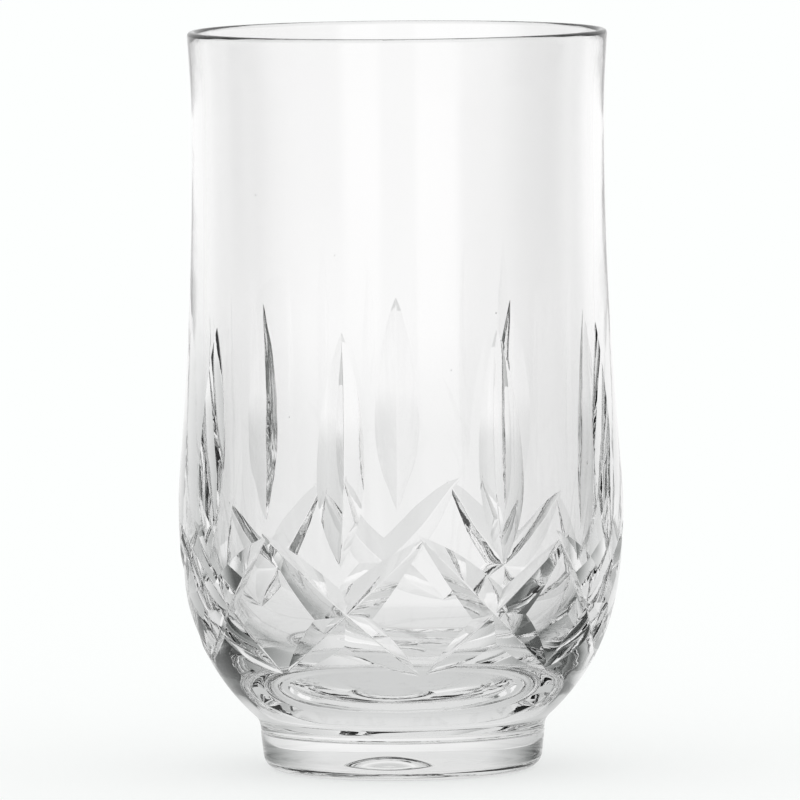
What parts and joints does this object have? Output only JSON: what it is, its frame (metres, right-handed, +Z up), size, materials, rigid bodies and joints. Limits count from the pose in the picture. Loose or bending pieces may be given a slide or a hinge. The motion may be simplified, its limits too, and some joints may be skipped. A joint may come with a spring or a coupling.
{
  "type": "water glass",
  "caption": "Footed tumbler in clear cut crystal: a thin-lipped bowl, barely waisted, round-bellied low down with tall lens cuts over crossed diamond cuts, on a short solid foot.",
  "frame": {"origin": "centre of the face that the glass stands on, at table height", "axes": "+Z up along the glass's own axis to the rim, -Y towards the viewer of the picture"},
  "size_m": [0.0764, 0.0764, 0.127],
  "materials": {
    "crystal": "polished"
  },
  "bodies": {
    "root": {"bowl": "crystal", "foot": "crystal"}
  },
  "joints": []
}
